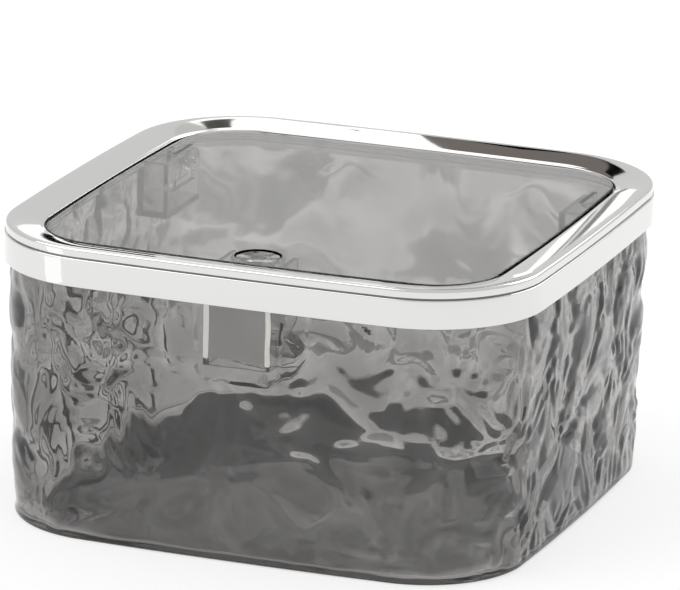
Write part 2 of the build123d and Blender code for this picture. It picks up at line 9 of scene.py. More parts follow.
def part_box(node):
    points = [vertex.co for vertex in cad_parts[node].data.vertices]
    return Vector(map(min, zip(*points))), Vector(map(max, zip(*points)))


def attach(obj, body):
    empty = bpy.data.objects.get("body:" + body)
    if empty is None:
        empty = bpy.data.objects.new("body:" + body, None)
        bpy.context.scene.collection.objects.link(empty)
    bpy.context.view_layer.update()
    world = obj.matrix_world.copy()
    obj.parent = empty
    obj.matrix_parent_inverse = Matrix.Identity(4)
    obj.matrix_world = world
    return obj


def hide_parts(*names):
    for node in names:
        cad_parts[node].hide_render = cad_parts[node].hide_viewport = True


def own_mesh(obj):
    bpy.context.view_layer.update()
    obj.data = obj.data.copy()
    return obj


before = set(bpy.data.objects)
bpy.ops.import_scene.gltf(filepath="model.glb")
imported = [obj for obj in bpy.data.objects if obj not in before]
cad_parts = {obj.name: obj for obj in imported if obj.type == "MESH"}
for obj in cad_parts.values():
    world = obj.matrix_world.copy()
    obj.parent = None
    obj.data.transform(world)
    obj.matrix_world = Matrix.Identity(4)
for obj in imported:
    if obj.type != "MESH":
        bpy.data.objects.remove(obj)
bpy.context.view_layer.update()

MM = 0.001

# ---------------------------------------------------------------- sizes, in millimetres
SIDE_BOW = 2.3               # how far the middle of each side stands out of its corners
RIM_CORNER = 38.7            # corner radius of the rim's outline
OUTLINE_STEP = 1.1           # spacing of points round an outline
EDGE_HOLD = 0.05             # a second row this close keeps an edge crisp under smooth shading

# rim
SKIRT_WALL = 1.4
GROOVE_DROP = 3.3            # crown to the lower edge of the shadow groove
GROOVE_HEIGHT = 0.5
GROOVE_DEPTH = 0.9
BEAD_INSET = 0.4
BEAD_ROUND = 0.9
BEAD_FOOT_ROUND = 0.2
CROWN_INSET = 2.0
DECK_FALL = 1.9              # crown down to the inner edge of the sloping top face
DECK_CROWNING = 0.36         # share of the fall that comes late
DECK_START = 0.06            # share of the way in of the first of these rows of points
DECK_ROWS = 12
DECK_WALL = 1.8
OPENING_INSET = 12.6
EDGE_ROUND = 0.35            # small moulded edges

# tub
TUB_WALL = 2.4
TUB_FLOOR = 1.5
TUB_BASE_INSET = 3.9         # base outline inside the rim's
TUB_FOOT_ROUND = 1.6
TUB_FOOT_WIDTH = 7.0
TUB_FOOT_RECESS = 0.6
TUB_FOOT_SLOPE = 0.3         # the recess's wall leans in by this
TUB_INNER_ROUND = 2.0
TUB_LIP_ROUND = 0.6

# button
BUTTON_SINK = 0.35           # its edge below the flap's top face
BUTTON_DISH = 0.45
BUTTON_DISH_FORM = ((0.3, 0.9), (0.6, 0.55))  # share of the radius, share of the depth
BUTTON_DISH_EDGE = (0.9, 0.03)  # in from its side and down from its top, where the dish runs out
BUTTON_RIM = 0.6             # flat edge outside the dish
BUTTON_ROUND = 0.35
BUTTON_CAP = 1.5
BUTTON_STEM = 3.0
BUTTON_GROOVE = 2.3          # radius in the clip's groove, and of the collar under it
BUTTON_COLLAR = 2.7
BUTTON_TIP_RISE = 1.1        # height of the domed tip
BUTTON_FLATS = 96            # points round it
AXIS_GAP = 0.01              # radius of the smallest ring, which a cap closes

# compression springs
SPRING_SIDES = 10            # flats round a spring's wire
SPRING_STEPS = 32            # lengths of wire in each turn
# body that carries it, wire, turns, the joint that presses it, the line it is pressed along and
# the share it keeps; the catch's arm tilts, so its spring leans back as it goes down
SPRINGS = {
    "button_spring": ("flap", 0.5, 2.5, "button_press", (0, 0, 1), 0.4),
    "catch_spring": ("lid", 0.45, 4.0, "catch_pivot", (0, -0.5, 0.866), 0.58),
}

# front of the latch: a pale edge on each cheek and the plate between them
CHEEK_MIDDLE = 10.3          # latch cheeks either side of the middle
LATCH_FRONT = -82.0          # front face of the latch housing
RIB_WIDTH = 1.6
RIB_DEPTH = 0.35
RIB_LOW = 64.5
RIB_HIGH = 86.0
RIB_END_ROUND = 0.3
RIB_EDGE = (0.15, 0.1)       # chamfer along its front, in width and in depth
PLATE_LOW = RIB_LOW + 2 * RIB_END_ROUND  # where a cheek edge has its full width
PLATE_THICKNESS = 0.25       # grained plate between the cheeks
PLATE_GAP = 0.1              # between the plate and each edge beside it
PLATE_SEAT = 0.02            # and behind it

# water relief on the tub's outside
RIPPLE_SPACING = 12.0        # from crest to crest of the water relief
FINE_SPACING = 0.45          # of the finer ripples, as a share of the main ones'
SWIRL_SPACING = 1.7          # of the swirl that draws them out
RIPPLE_PLACE = Vector((274, 122, 422))  # where the endless pattern is cut
SWIRL_SHIFTS = (Vector((13.7, 2.3, 7.9)), Vector((31.1, 19.3, 5.7)), Vector((3.1, 43.9, 23.3)))
RIPPLE_SWIRL = 9.5           # how far the relief is drawn into loops
FINE_SWIRL = 1.6             # the finer ripples are drawn further by this
RIPPLE_GAIN = 1.7            # waves above 1 are cut flat, which gives broad crests
RIPPLE_FINE = 0.45           # strength of the fine ripples, and on the right wall
RIPPLE_FINE_RIGHT = 1.0
RIGHT_WALL_REACH = 14        # the right wall is what lies this near the rim's right side
RIPPLE_HEIGHT = 0.9          # furthest that it stands out of the wall or sinks into it
RIPPLE_RING_STEP = 1.0       # rings up the wall
RIPPLE_STAND_OUT = 0.7       # share of the height that is kept where it stands out
RIPPLE_CALM = 0.4            # share that is left in the calm patches
CALM_PATCHES = (((-6, -87), 36), ((-10, 87), 24))  # middle of each and how far it reaches
FOOT_FADE = 2.5              # the relief grows to its full height over these lengths:
LIP_FADE = 6.0
SKIRT_FADE = 4.0
SKIRT_ROOM = 1.0             # and never stands out this near the rim's skirt
# single drops sunk in the wall: side in quarter turns from the front, place along it, height,
# half length and depth
DROPS = ((0, 22, 37, 4.6, 1.0), (0, 80, 40, 3.4, 1.0), (0, 48, 12, 2.6, 0.8), (0, -40, 14, 3.0, 0.9),
         (0, 24, 57, 5.5, 1.0), (0, 70, 20, 3.0, 0.8), (1, -20, 34, 4.0, 1.0), (1, 30, 52, 4.5, 1.0),
         (2, 25, 40, 4.5, 1.0), (2, -34, 58, 4.0, 1.0), (3, 10, 30, 4.0, 1.0), (3, -30, 55, 4.5, 1.0))
DROP_FLATNESS = 0.45         # height of a drop against its length
DROP_WALL = 50               # a side's wall lies further out than this
DEEPEST = 1.3                # drop and wave together, as a share of the relief's height


# ---------------------------------------------------------------- materials
def linear(code):
    """Linear RGBA from an sRGB hex code."""
    channels = [int(code[at:at + 2], 16) / 255 for at in (1, 3, 5)]
    curved = [c / 12.92 if c <= 0.04045 else ((c + 0.055) / 1.055) ** 2.4 for c in channels]
    return (*curved, 1.0)


def node(tree, kind, settings=None, links=None):
    """Adds a node, sets its sockets and properties, and links sockets of other nodes into it."""
    new = tree.nodes.new(kind)
    for key, value in (settings or {}).items():
        if isinstance(key, int) or key in new.inputs:
            new.inputs[key].default_value = value
        else:
            setattr(new, key, value)
    for key, source in (links or {}).items():
        tree.links.new(source, new.inputs[key])
    return new


def new_material(name):
    """Empty material that is made of nodes."""
    material = bpy.data.materials.new(name)
    material.use_nodes = True
    material.node_tree.nodes.clear()
    return material


def clear_plastic(name, tint, density, roughness, bend=1.5):
    """Clear moulded plastic, dyed smoke grey through its depth; density is the dye's, per metre.

    The dye takes light off by the millimetre, so thick places and edges go dark and thin ones
    stay pale.  Light from the lamps passes it, so that the inside of the bin is lit.
    """
    material = new_material(name)
    tree = material.node_tree
    place = node(tree, "ShaderNodeTexCoord")
    # slow sink and flow marks of a moulding, about 25 mm across
    flow = node(tree, "ShaderNodeTexNoise", {"Scale": 1 / (25 * MM), "Detail": 1.0},
                {"Vector": place.outputs["Object"]})
    relief = node(tree, "ShaderNodeBump", {"Strength": 0.06, "Distance": 0.4 * MM},
                  {"Height": flow.outputs["Fac"]})
    # a little of the gloss is lost in soft patches where hands wipe it
    haze = node(tree, "ShaderNodeMapRange", {"To Min": roughness, "To Max": roughness + 0.03},
                {"Value": flow.outputs["Fac"]})
    glass = node(tree, "ShaderNodeBsdfPrincipled",
                 {"Base Color": (1.0, 1.0, 1.0, 1.0), "IOR": bend, "Transmission Weight": 1.0},
                 {"Roughness": haze.outputs["Result"], "Normal": relief.outputs["Normal"]})
    passing = node(tree, "ShaderNodeBsdfTransparent", {"Color": linear("#e2e2e2")})
    path = node(tree, "ShaderNodeLightPath")
    mixed = node(tree, "ShaderNodeMixShader", {}, {"Fac": path.outputs["Is Shadow Ray"]})
    tree.links.new(glass.outputs["BSDF"], mixed.inputs[1])
    tree.links.new(passing.outputs["BSDF"], mixed.inputs[2])
    dye = node(tree, "ShaderNodeVolumeAbsorption", {"Color": linear(tint), "Density": density})
    node(tree, "ShaderNodeOutputMaterial", {},
         {"Surface": mixed.outputs["Shader"], "Volume": dye.outputs["Volume"]})
    return material


def plated_rim():
    """Bright chrome plating over a plastic moulding: mirror sharp, with a faint orange peel."""
    material = new_material("bright_chrome_plated_abs")
    tree = material.node_tree
    place = node(tree, "ShaderNodeTexCoord")
    peel = node(tree, "ShaderNodeTexNoise", {"Scale": 1 / (18 * MM), "Detail": 2.0},
                {"Vector": place.outputs["Object"]})
    relief = node(tree, "ShaderNodeBump", {"Strength": 0.05, "Distance": 0.3 * MM},
                  {"Height": peel.outputs["Fac"]})
    bright = node(tree, "ShaderNodeMapRange", {"To Min": 0.03, "To Max": 0.07},
                  {"Value": peel.outputs["Fac"]})
    metal = node(tree, "ShaderNodeBsdfPrincipled",
                 {"Base Color": linear("#dededc"), "Metallic": 1.0},
                 {"Roughness": bright.outputs["Result"], "Normal": relief.outputs["Normal"]})
    node(tree, "ShaderNodeOutputMaterial", {}, {"Surface": metal.outputs["BSDF"]})
    return material


def painted_recess_shade(name, dark, light):
    """Painted shade for recesses of the plating: half-matt and dark in soft patches, with no mirror.
    """
    material = new_material(name)
    tree = material.node_tree
    place = node(tree, "ShaderNodeTexCoord")
    patchy = node(tree, "ShaderNodeTexNoise", {"Scale": 1 / (6 * MM), "Detail": 2.0},
                  {"Vector": place.outputs["Object"]})
    shade = node(tree, "ShaderNodeMixRGB", {"Color1": linear(dark), "Color2": linear(light)},
                 {"Fac": patchy.outputs["Fac"]})
    metal = node(tree, "ShaderNodeBsdfPrincipled", {"Metallic": 1.0, "Roughness": 0.35},
                 {"Base Color": shade.outputs["Color"]})
    node(tree, "ShaderNodeOutputMaterial", {}, {"Surface": metal.outputs["BSDF"]})
    return material


def drawn_steel(name, code, roughness):
    """Drawn steel: fine die lines a few tenths of a millimetre apart that soften its gloss."""
    material = new_material(name)
    tree = material.node_tree
    place = node(tree, "ShaderNodeTexCoord")
    lines = node(tree, "ShaderNodeTexNoise", {"Scale": 1 / (0.8 * MM), "Detail": 2.0},
                 {"Vector": place.outputs["Object"]})
    gloss = node(tree, "ShaderNodeMapRange", {"To Min": roughness, "To Max": roughness + 0.15},
                 {"Value": lines.outputs["Fac"]})
    metal = node(tree, "ShaderNodeBsdfPrincipled",
                 {"Base Color": linear(code), "Metallic": 1.0},
                 {"Roughness": gloss.outputs["Result"]})
    node(tree, "ShaderNodeOutputMaterial", {}, {"Surface": metal.outputs["BSDF"]})
    return material


def grained_painted_glow_front():
    """Smoke plastic moulded against a grained tool: an even grey that hides what is behind it,
    lightened by a faint painted glow.
    """
    material = new_material("grained_smoke_painted_glow_moulding")
    tree = material.node_tree
    place = node(tree, "ShaderNodeTexCoord")
    grain = node(tree, "ShaderNodeTexNoise", {"Scale": 1 / (0.6 * MM), "Detail": 3.0},
                 {"Vector": place.outputs["Object"]})
    relief = node(tree, "ShaderNodeBump", {"Strength": 0.2, "Distance": 0.05 * MM},
                  {"Height": grain.outputs["Fac"]})
    # painted light: the faint emission lightens the plate though it is no lamp
    body = node(tree, "ShaderNodeBsdfPrincipled",
                {"Base Color": linear("#f0efed"), "Roughness": 0.5, "IOR": 1.3,
                 "Transmission Weight": 0.3, "Emission Color": linear("#f0efed"),
                 "Emission Strength": 0.14}, {"Normal": relief.outputs["Normal"]})
    passing = node(tree, "ShaderNodeBsdfTransparent", {"Color": linear("#d0d0d0")})
    path = node(tree, "ShaderNodeLightPath")
    mixed = node(tree, "ShaderNodeMixShader", {}, {"Fac": path.outputs["Is Shadow Ray"]})
    tree.links.new(body.outputs["BSDF"], mixed.inputs[1])
    tree.links.new(passing.outputs["BSDF"], mixed.inputs[2])
    node(tree, "ShaderNodeOutputMaterial", {}, {"Surface": mixed.outputs["Shader"]})
    return material


def painted_glow_edge_finish():
    """Sawn and ground edge of clear plastic: a pale frosted band with fine grinding lines, lit by a
    painted glow.
    """
    material = new_material("ground_clear_edge_painted_glow")
    tree = material.node_tree
    place = node(tree, "ShaderNodeTexCoord")
    lines = node(tree, "ShaderNodeTexNoise", {"Scale": 1 / (0.9 * MM), "Detail": 2.0},
                 {"Vector": place.outputs["Object"]})
    shade = node(tree, "ShaderNodeMixRGB",
                 {"Color1": linear("#f1f1ec"), "Color2": linear("#fbfbf8")},
                 {"Fac": lines.outputs["Fac"]})
    # painted light: the edge glows as though it gathered light from the whole plate, so it stands out
    # pale
    body = node(tree, "ShaderNodeBsdfPrincipled",
                {"Roughness": 0.6, "IOR": 1.49, "Emission Color": linear("#fbfbf6"),
                 "Emission Strength": 0.9},
                {"Base Color": shade.outputs["Color"]})
    node(tree, "ShaderNodeOutputMaterial", {}, {"Surface": body.outputs["BSDF"]})
    return material


# the tub has the deepest dye, and the cover bends light least, so that only its outline shows
smoke_tub = clear_plastic("smoke_clear_moulded_polystyrene", "#a3a09e", 400.0, 0.0)
smoke_flap = clear_plastic("pale_smoke_clear_acrylic", "#c9c7c5", 230.0, 0.0)
smoke_frame = clear_plastic("smoke_clear_moulded_frame", "#b5b3b1", 120.0, 0.02)
smoke_cover = clear_plastic("thin_smoke_clear_cover", "#c9c7c5", 12.0, 0.02, 1.04)
smoke_button = clear_plastic("smoke_clear_moulded_button", "#c9c7c5", 260.0, 0.0)
chrome = plated_rim()
# painted shade: the groove and the inner edge get dark grey and nearly black metal in place of their
# shade, so they read as grey and nearly black lines
groove_painted_shade = painted_recess_shade("painted_shade_in_groove", "#6f6e6c", "#8f8e8c")
inner_edge_painted_shade = painted_recess_shade("painted_shade_at_inner_edge", "#141413", "#343331")
grained_painted_glow_plastic = grained_painted_glow_front()
edge_with_painted_glow = painted_glow_edge_finish()
pin_steel = drawn_steel("drawn_stainless_pin", "#c9c8c6", 0.2)
spring_steel = drawn_steel("spring_steel_wire", "#a9a8a6", 0.25)
screw_steel = drawn_steel("zinc_plated_screw_steel", "#c6c6c2", 0.25)


# ---------------------------------------------------------------- meshes
def outline(half, corner):
    """Points round the bowed square with their outward normals, in millimetres."""
    tip = half - SIDE_BOW
    side_radius = (tip ** 2 + SIDE_BOW ** 2) / (2 * SIDE_BOW)
    centre = half - side_radius
    # the corner's centre (q, q) is side_radius - corner from the side's own centre
    reach = side_radius - corner
    q = (centre + math.sqrt(2 * reach ** 2 - centre ** 2)) / 2
    turn = math.atan2(q, q - centre)
    side_count = 2 * round(side_radius * turn / OUTLINE_STEP)
    corner_count = round(RIM_CORNER * (math.pi / 2 - 2 * turn) / OUTLINE_STEP)
    side = np.linspace(-turn, turn, side_count, endpoint=False)
    bend = np.linspace(turn, math.pi / 2 - turn, corner_count, endpoint=False)
    x = np.concatenate([centre + side_radius * np.cos(side), q + corner * np.cos(bend)])
    y = np.concatenate([side_radius * np.sin(side), q + corner * np.sin(bend)])
    angle = np.concatenate([side, bend])
    places = []
    normals = []
    for quarter in range(4):
        c, s = math.cos(quarter * math.pi / 2), math.sin(quarter * math.pi / 2)
        places.append(np.stack([c * x - s * y, s * x + c * y], 1))
        a = angle + quarter * math.pi / 2
        normals.append(np.stack([np.cos(a), np.sin(a)], 1))
    return np.concatenate(places), np.concatenate(normals)


def ring(half, corner, inset, height):
    """One ring of points, inset along the outline's normals."""
    places, normals = outline(half, corner)
    flat = places - normals * inset
    return np.column_stack([flat, np.full(len(flat), height)])


def band_mesh(name, rings, closed=False):
    """Smooth mesh through rings of equal count.

    A closed one joins its last ring to its first; an open one is capped at both ends.
    """
    count = len(rings[0])
    points = np.concatenate(rings) * MM
    faces = []
    around = np.arange(count)
    after = (around + 1) % count
    last = len(rings) if closed else len(rings) - 1
    for row in range(last):
        low = row * count
        high = ((row + 1) % len(rings)) * count
        quads = np.stack([low + around, low + after, high + after, high + around], 1)
        faces.extend(quads.tolist())
    if not closed:
        faces.append(list(range(count - 1, -1, -1)))
        faces.append(list(range((len(rings) - 1) * count, len(rings) * count)))
    mesh = bpy.data.meshes.new(name)
    mesh.from_pydata(points.tolist(), [], faces)
    mesh.polygons.foreach_set("use_smooth", [True] * len(mesh.polygons))
    mesh.update()
    made = bpy.data.objects.new(name, mesh)
    bpy.context.scene.collection.objects.link(made)
    return made


def arc(centre, radius, start, end, count):
    """Points of an arc in the (inset, height) plane, angles in degrees."""
    angles = np.radians(np.linspace(start, end, count))
    return [(centre[0] + radius * math.cos(a), centre[1] + radius * math.sin(a)) for a in angles]


def straight(start, end, count):
    """Points between two places, without the places themselves."""
    steps = np.linspace(0, 1, count + 2)[1:-1]
    return [(start[0] + (end[0] - start[0]) * t, start[1] + (end[1] - start[1]) * t) for t in steps]


rim_low, rim_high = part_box("chrome_rim")
rim_half = rim_high.x / MM
crown = rim_high.z / MM
skirt_low = rim_low.z / MM
tub_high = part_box("bin_body")[1]
tub_top = tub_high.z / MM
tub_half = tub_high.x / MM


def make_rim():
    """Plated ring: skirt, shadow groove, bead and the top face that falls to the flap."""
    groove = crown - GROOVE_DROP
    deck = crown - DECK_FALL
    deck_under = deck - DECK_WALL
    e = EDGE_ROUND
    profile = [(SKIRT_WALL - EDGE_HOLD, skirt_low)]
    profile += arc((e, skirt_low + e), e, 270, 180, 5)
    profile += straight((0, skirt_low + e), (0, groove - e), 2)
    profile += arc((e, groove - e), e, 180, 90, 5)
    low = groove + GROOVE_HEIGHT
    groove_row = len(profile)
    profile += [(GROOVE_DEPTH - EDGE_HOLD, groove), (GROOVE_DEPTH, groove + EDGE_HOLD)]
    profile += [(GROOVE_DEPTH, low - EDGE_HOLD), (GROOVE_DEPTH - EDGE_HOLD, low)]
    foot = BEAD_FOOT_ROUND
    profile += arc((BEAD_INSET + foot, low + foot), foot, 270, 180, 4)
    profile += arc((BEAD_INSET + BEAD_ROUND, crown - BEAD_ROUND), BEAD_ROUND, 180, 90, 9)
    profile += [(CROWN_INSET - 2 * EDGE_HOLD, crown)]
    # the top face is slightly crowned: it steepens from the crown to its inner edge
    run = OPENING_INSET - CROWN_INSET
    for along in np.linspace(DECK_START, 1.0, DECK_ROWS):
        fall = DECK_FALL * along * (1 - DECK_CROWNING + DECK_CROWNING * along)
        profile.append((CROWN_INSET + run * along - e * (along == 1.0), crown - fall))
    profile += arc((OPENING_INSET - e, deck - e), e, 75, 0, 4)
    edge_row = len(profile) - 1
    profile += [(OPENING_INSET, deck_under), (OPENING_INSET - EDGE_HOLD, deck_under)]
    profile += [(SKIRT_WALL, deck_under)]
    rings = [ring(rim_half, RIM_CORNER, inset, height) for inset, height in profile]
    made = band_mesh("plated_rim", rings, closed=True)
    for finish in (chrome, groove_painted_shade, inner_edge_painted_shade):
        made.data.materials.append(finish)
    around = len(rings[0])
    # the groove's three rows of faces, and the two of the inner edge, which get the painted shade
    for finish_number, first, count in ((1, groove_row, 3), (2, edge_row, 2)):
        for face in made.data.polygons[first * around:(first + count) * around]:
            face.material_index = finish_number
    return made


def ripple(points):
    """Height of the water relief at each point: 1 on a crest, -1 or a little less in a hollow.

    A slow swirl draws the waves into loops, and finer ones run over them.
    """
    heights = np.empty(len(points))
    for index, place in enumerate(points):
        at = Vector(place) + RIPPLE_PLACE
        slow = at / (SWIRL_SPACING * RIPPLE_SPACING)
        swirl = Vector([noise.noise(slow + shift) for shift in SWIRL_SHIFTS]) * RIPPLE_SWIRL
        wave = noise.noise((at + swirl) / RIPPLE_SPACING)
        fine = noise.noise((at + FINE_SWIRL * swirl) / (FINE_SPACING * RIPPLE_SPACING))
        # the right wall has more of the fine ones
        on_right = place[0] >= rim_half - RIGHT_WALL_REACH
        share = RIPPLE_FINE_RIGHT if on_right else RIPPLE_FINE
        heights[index] = RIPPLE_GAIN * wave + share * fine
    calm = np.ones(len(points))
    for middle, reach in CALM_PATCHES:
        away = np.hypot(*(points[:, :2] - middle).T) / reach
        calm = np.minimum(calm, RIPPLE_CALM + (1 - RIPPLE_CALM) * np.clip(away, 0, 1) ** 2)
    heights = np.clip(heights, -1, 1) * calm
    for quarter, along, level, reach, depth in DROPS:
        c, s = math.cos(quarter * math.pi / 2), math.sin(quarter * math.pi / 2)
        beside = points[:, 0] * c + points[:, 1] * s - along
        facing = points[:, 0] * s - points[:, 1] * c
        far = np.hypot(beside / reach, (points[:, 2] - level) / (reach * DROP_FLATNESS))
        heights -= np.where(facing > DROP_WALL, depth * np.exp(-far ** 2), 0)
    return np.clip(heights, -DEEPEST, 1)


def make_tub():
    """Square tub that widens upwards, with water ripples moulded into its outside."""
    base_half = rim_half - TUB_BASE_INSET
    spread = tub_half - base_half
    corner_top = RIM_CORNER - (rim_half - tub_half)

    def level(height, inset):
        grow = spread * (1 - height / tub_top)
        return ring(tub_half - grow, corner_top - grow, inset, height)

    r = TUB_FOOT_ROUND
    lip = TUB_LIP_ROUND
    # underside: recess, then the flat ring that it stands on
    rings = [level(TUB_FOOT_RECESS, TUB_FOOT_WIDTH + TUB_FOOT_SLOPE), level(0.0, TUB_FOOT_WIDTH)]
    for inset, height in arc((r, r), r, 270, 190, 6):
        rings.append(level(height, inset))
    # outer wall with the relief
    normals = outline(tub_half, corner_top)[1]
    count = round((tub_top - lip - r) / RIPPLE_RING_STEP)
    for height in np.linspace(r, tub_top - lip, count):
        skin = level(height, 0.0)
        # the relief dies out at the foot and the lip, and under the skirt it may only sink
        fade = max(0.0, min(1.0, (height - r) / FOOT_FADE, (tub_top - lip - height) / LIP_FADE))
        room = max(0.0, min(1.0, (skirt_low - SKIRT_ROOM - height) / SKIRT_FADE))
        wave = ripple(skin) * RIPPLE_HEIGHT * fade
        stands = np.where(wave > 0, wave * RIPPLE_STAND_OUT * room, wave)
        skin[:, :2] += normals * stands[:, None]
        rings.append(skin)
    for inset, height in arc((lip, tub_top - lip), lip, 170, 90, 4):
        rings.append(level(height, inset))
    for inset, height in arc((TUB_WALL - lip, tub_top - lip), lip, 90, 0, 4):
        rings.append(level(height, inset))
    floor_round = TUB_INNER_ROUND
    for height in np.linspace(tub_top - lip, TUB_FLOOR + floor_round, 12)[1:]:
        rings.append(level(height, TUB_WALL))
    centre = (TUB_WALL + floor_round, TUB_FLOOR + floor_round)
    for inset, height in arc(centre, floor_round, 190, 270, 8):
        rings.append(level(height, inset))
    return band_mesh("rippled_tub", rings)


rim = make_rim()
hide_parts("chrome_rim")
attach(rim, "lid")

tub = make_tub()
tub.data.materials.append(smoke_tub)
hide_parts("bin_body")
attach(tub, "tub")


def make_button():
    """Round button, sunk in the flap, with a shallow finger dish and its stem."""
    low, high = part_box("push_button")
    middle = (low + high) / 2 / MM
    cap = (high.x - low.x) / 2 / MM
    top = high.z / MM - BUTTON_SINK
    profile = [(AXIS_GAP, top - BUTTON_DISH)]
    profile += [(share * cap, top - BUTTON_DISH * deep) for share, deep in BUTTON_DISH_FORM]
    profile += [(cap - BUTTON_DISH_EDGE[0], top - BUTTON_DISH_EDGE[1]), (cap - BUTTON_RIM, top)]
    r = BUTTON_ROUND
    profile += [(cap - r * (1 - math.sin(t)), top - r * (1 - math.cos(t)))
                for t in np.linspace(0.1, math.pi / 2, 5)]
    under = top - BUTTON_CAP
    hold = EDGE_HOLD
    profile += [(cap, under + hold), (cap - hold, under), (BUTTON_STEM + hold, under)]
    # stem, the clip's groove, the collar that keeps the clip, and the domed tip
    clip_low, clip_high = (corner.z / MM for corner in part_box("button_clip"))
    profile += [(BUTTON_STEM, under - hold), (BUTTON_STEM, clip_high + hold)]
    profile += [(BUTTON_STEM - hold, clip_high), (BUTTON_GROOVE + hold, clip_high)]
    profile += [(BUTTON_GROOVE, clip_high - hold), (BUTTON_GROOVE, clip_low + hold)]
    profile += [(BUTTON_GROOVE + hold, clip_low), (BUTTON_COLLAR - hold, clip_low)]
    profile += [(BUTTON_COLLAR, clip_low - hold)]
    tip = low.z / MM
    dome = (BUTTON_COLLAR ** 2 + BUTTON_TIP_RISE ** 2) / (2 * BUTTON_TIP_RISE)
    profile += [(reach, tip + dome - math.sqrt(dome ** 2 - reach ** 2))
                for reach in np.linspace(BUTTON_COLLAR, AXIS_GAP, 8)]
    around = -np.linspace(0, 2 * math.pi, BUTTON_FLATS, endpoint=False)
    rings = []
    for reach, height in profile:
        x = middle.x + reach * np.cos(around)
        y = middle.y + reach * np.sin(around)
        rings.append(np.column_stack([x, y, np.full(BUTTON_FLATS, height)]))
    return band_mesh("round_button", rings)


button = make_button()
button.data.materials.append(smoke_button)
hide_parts("push_button")
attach(button, "button")


def make_coil(name, wire, turns):
    """Compression spring wound round the upright axis of its node."""
    low, high = (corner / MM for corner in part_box(name))
    middle = (low + high) / 2
    radius = (high.x - low.x - wire) / 2
    rise = high.z - low.z - wire
    around = np.linspace(0, 2 * math.pi, SPRING_SIDES, endpoint=False)
    rings = []
    for along in np.linspace(0, 1, round(turns * SPRING_STEPS) + 1):
        a = 2 * math.pi * turns * along
        out = radius + wire / 2 * np.cos(around)
        x = middle.x + out * math.cos(a)
        y = middle.y + out * math.sin(a)
        height = low.z + wire / 2 + rise * along - wire / 2 * np.sin(around)
        rings.append(np.column_stack([x, y, height]))
    return band_mesh("coiled_" + name, rings)


for name, (body, wire, turns, joint, press_line, kept) in SPRINGS.items():
    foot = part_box(name)[0]
    coil = make_coil(name, wire, turns)
    coil.data.materials.append(spring_steel)
    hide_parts(name)
    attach(coil, body)
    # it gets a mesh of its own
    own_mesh(coil)


def make_rib(name, along):
    """Ground front edge of a latch cheek: a rounded bar on the housing's front face."""
    wide_edge, deep_edge = RIB_EDGE
    # heights, and how much slimmer the bar is there, so that its ends are round
    levels = [(RIB_LOW, RIB_END_ROUND), (RIB_LOW + RIB_END_ROUND, 0.08), (PLATE_LOW, 0),
              (RIB_HIGH - 0.5, 0), (RIB_HIGH, 0.2)]
    rings = []
    for height, less in levels:
        wide = RIB_WIDTH / 2 - less
        out = RIB_DEPTH - less / 2
        half = [(wide - wide_edge, -out), (wide, deep_edge - out), (wide, 0.0)]
        corners = [(-x, y) for x, y in reversed(half)] + half
        rings.append(np.array([(along + x, LATCH_FRONT + y, height) for x, y in corners]))
    return band_mesh(name, rings)


for name, along in (("left_cheek_edge", -CHEEK_MIDDLE), ("right_cheek_edge", CHEEK_MIDDLE)):
    rib = make_rib(name, along)
    rib.data.materials.append(edge_with_painted_glow)
    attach(rib, "lid")


def make_front():
    """Thin grained plate over the open front of the latch housing, between its cheeks."""
    half = CHEEK_MIDDLE - RIB_WIDTH / 2 - PLATE_GAP
    rings = []
    for y in (LATCH_FRONT - PLATE_SEAT, LATCH_FRONT - PLATE_THICKNESS):
        rings.append(np.array([(-half, y, RIB_HIGH), (half, y, RIB_HIGH),
                               (half, y, PLATE_LOW), (-half, y, PLATE_LOW)]))
    return band_mesh("latch_front_plate", rings)


front = make_front()
front.data.polygons.foreach_set("use_smooth", [False] * len(front.data.polygons))
front.data.materials.append(grained_painted_glow_plastic)
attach(front, "lid")

# what the other CAD nodes are made of
finishes = {
    "lid_frame": smoke_frame,
    "latch_cover": smoke_cover,
    "flap_panel": smoke_flap,
    "hinge_arm_left": smoke_frame,
    "hinge_arm_right": smoke_frame,
    "striker": smoke_frame,
    "catch": smoke_cover,
    "button_clip": spring_steel,
    "hinge_pin_left": pin_steel,
    "hinge_pin_right": pin_steel,
    "catch_pin": pin_steel,
    "torsion_spring_left": spring_steel,
    "torsion_spring_right": spring_steel,
    "rim_screws": screw_steel,
    "cover_screws": screw_steel,
}
for name, material in finishes.items():
    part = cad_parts[name]
    for place in part.material_slots:
        place.material = material


# ---------------------------------------------------------------- floor, light and camera
FLOOR_REACH = 7.0            # metres from the middle
# the low glow under the foot is a painted shadow on the floor under the bin
FLOOR_GLOW = (0.07, 0.64)    # under the foot and elsewhere
FOOT_SHADE = (79, 86.5)      # half width of the dark under the foot, and of its faded edge, in mm

# metres: paper with clouds close behind the bin
CLOUD_BEHIND = 0.15
CLOUD_TOP = 0.09
CLOUD_FADE = 0.045
CLOUD_LEFT = -0.5
CLOUD_RIGHT = 0.3

# metres: dark cards that stand far round the bin
FLAG_AWAY = 3.0
FLAG_WIDTH = 2.5
FLAG_HEIGHT = 0.75

# metres: white card beside the skirt's left front corner
SIDE_CARD_X = -0.16
SIDE_CARD_Y = (-0.205, -0.142)
SIDE_CARD_Z = (0.02, 0.075)

LAMP_AIM = Vector((0, 0, 0.05))
SKY_STRENGTH = 0.75


